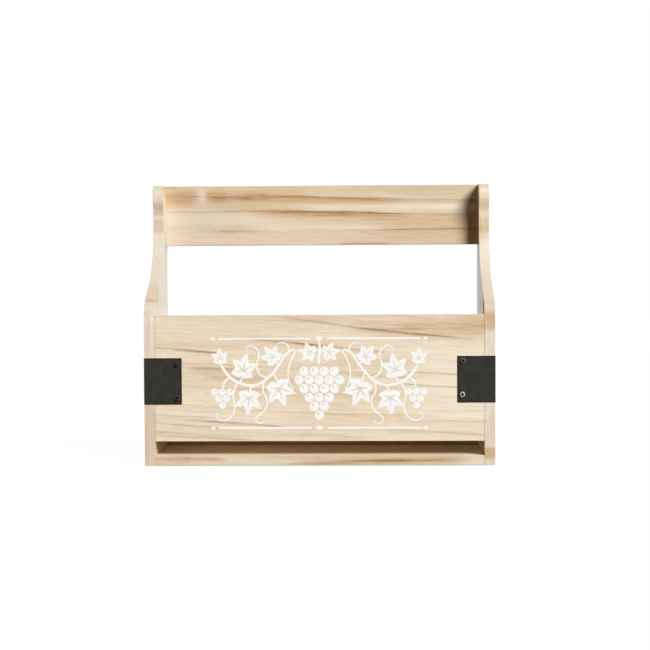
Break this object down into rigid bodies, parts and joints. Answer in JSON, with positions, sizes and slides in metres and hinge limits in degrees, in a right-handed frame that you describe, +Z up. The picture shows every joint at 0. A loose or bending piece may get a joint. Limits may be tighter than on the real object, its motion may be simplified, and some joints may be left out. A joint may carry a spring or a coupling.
{
  "type": "bottle caddy",
  "caption": "Single-row wooden bottle caddy with scooped side boards, a rear handle rail, a raised front board and folded sheet brackets on its front corners.",
  "frame": {"origin": "middle of the underside, halfway between the side boards' outer faces and between the front and rear planes of the wood", "axes": "+X along the row of bottles to the viewer's right, +Y from the front to the rear, +Z up"},
  "size_m": [0.3538, 0.1069, 0.2843],
  "materials": {
    "wood": "planed and lightly sanded pale wood, unvarnished",
    "black_sheet": "matt black paint on thin steel sheet",
    "screw_steel": "blackened steel, worn bare on some heads",
    "pin_steel": "plain bright wire",
    "white_print": "matt white screen-printed paint on the front board"
  },
  "bodies": {
    "root": {"side_left": "wood", "side_right": "wood", "base_board": "wood", "front_board": "wood", "back_board": "wood", "top_rail": "wood", "corner_bracket_left": "black_sheet", "corner_bracket_right": "black_sheet", "bracket_screws_left": "screw_steel", "bracket_screws_right": "screw_steel", "base_board_pins": "pin_steel", "front_board_pins": "pin_steel", "back_board_pins": "pin_steel", "top_rail_pins": "pin_steel"}
  },
  "joints": []
}
